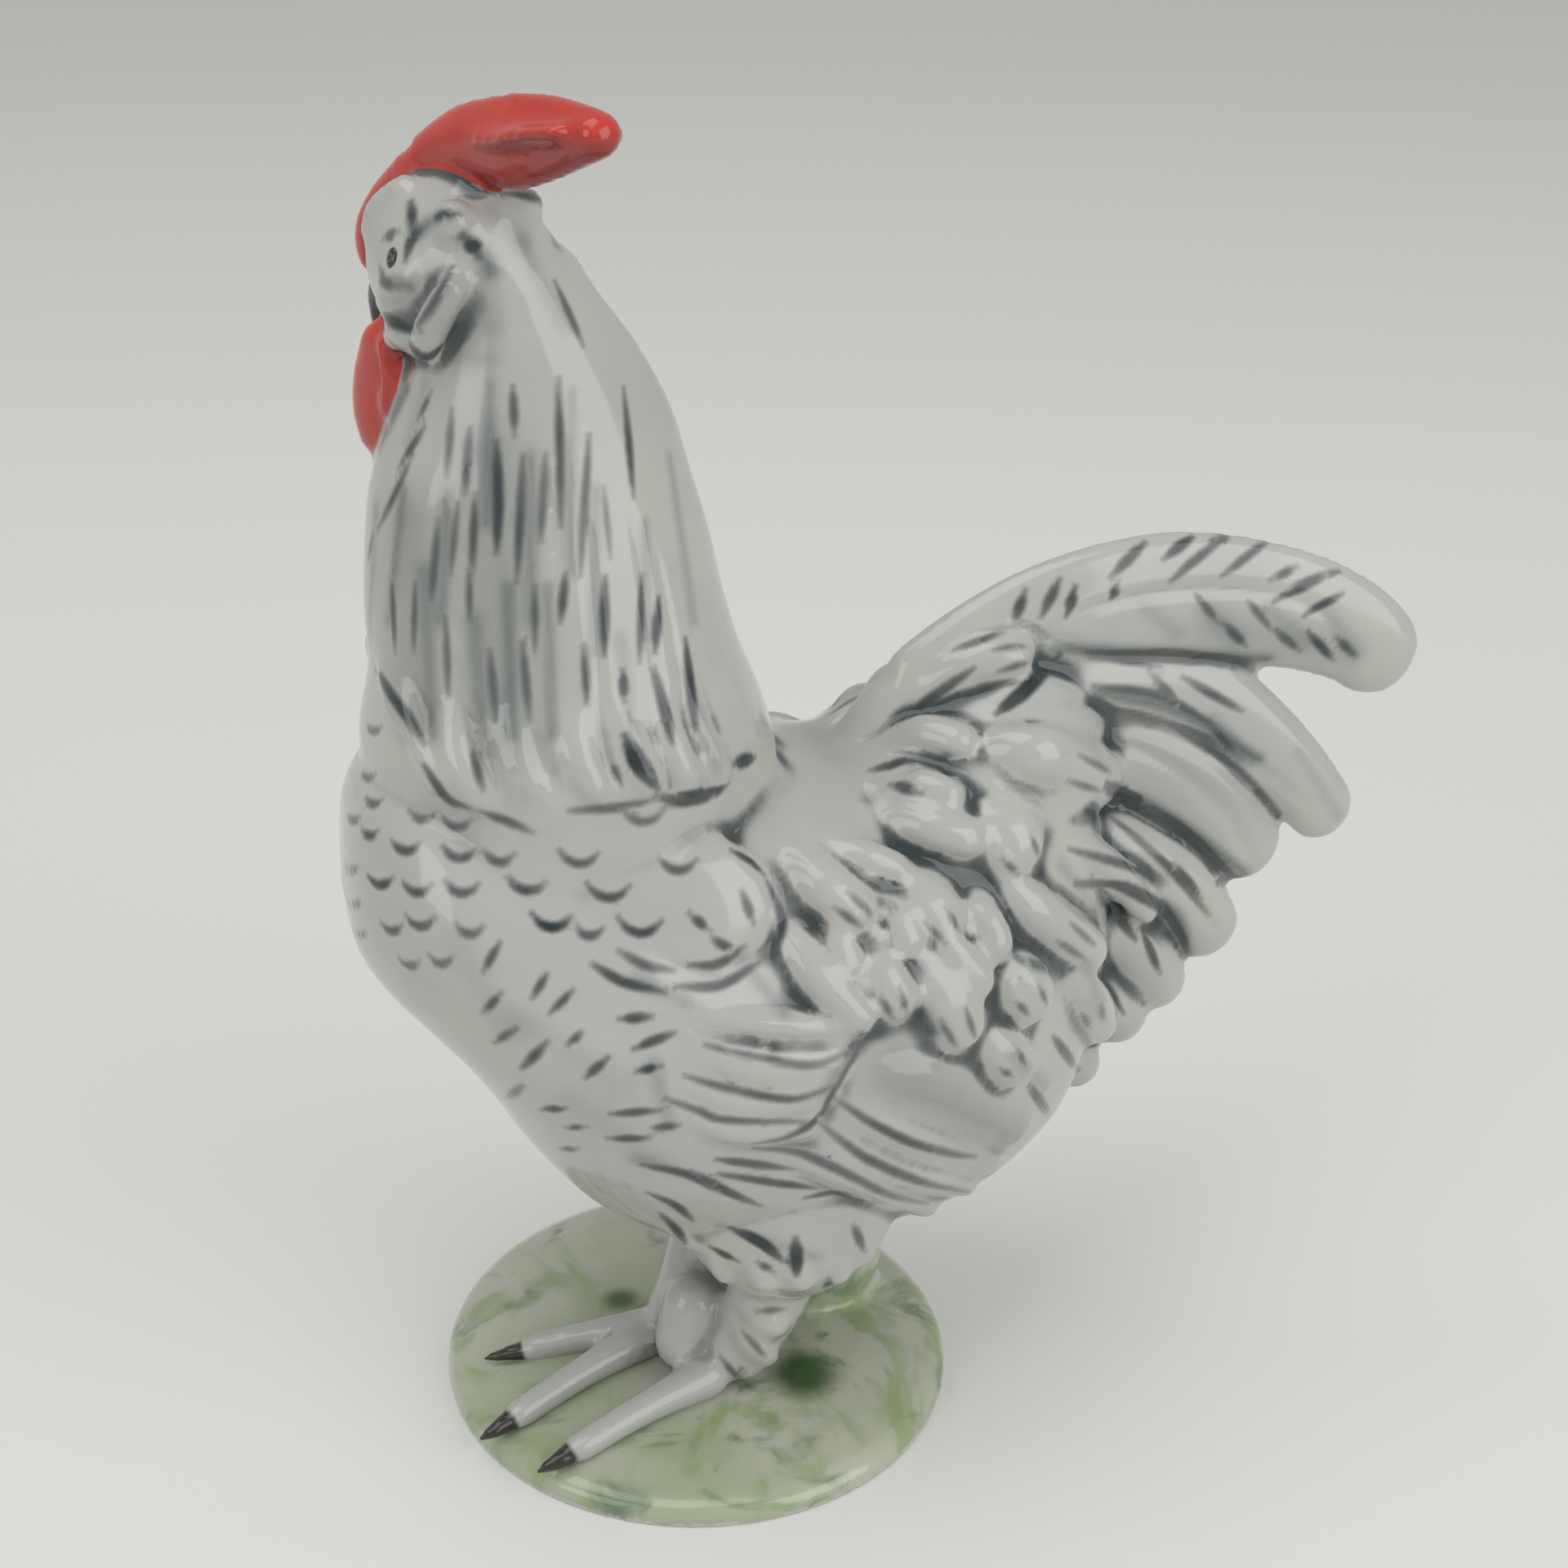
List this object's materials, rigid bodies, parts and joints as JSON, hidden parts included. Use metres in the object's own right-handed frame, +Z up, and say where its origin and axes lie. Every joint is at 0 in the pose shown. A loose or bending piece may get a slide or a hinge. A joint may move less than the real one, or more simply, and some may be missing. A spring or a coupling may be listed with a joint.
{
  "type": "rooster figurine",
  "caption": "Glazed porcelain rooster standing on a low oval green mound, head turned aside, arched tail and feathers in relief.",
  "frame": {"origin": "centre of the mound's flat underside", "axes": "+Z up; +X towards the tail, so the bird faces -X; +Y towards the bird's right side"},
  "size_m": [0.1233, 0.0642, 0.1522],
  "materials": {
    "white_glaze": "gloss"
  },
  "bodies": {
    "root": {"rooster": "white_glaze"}
  },
  "joints": []
}
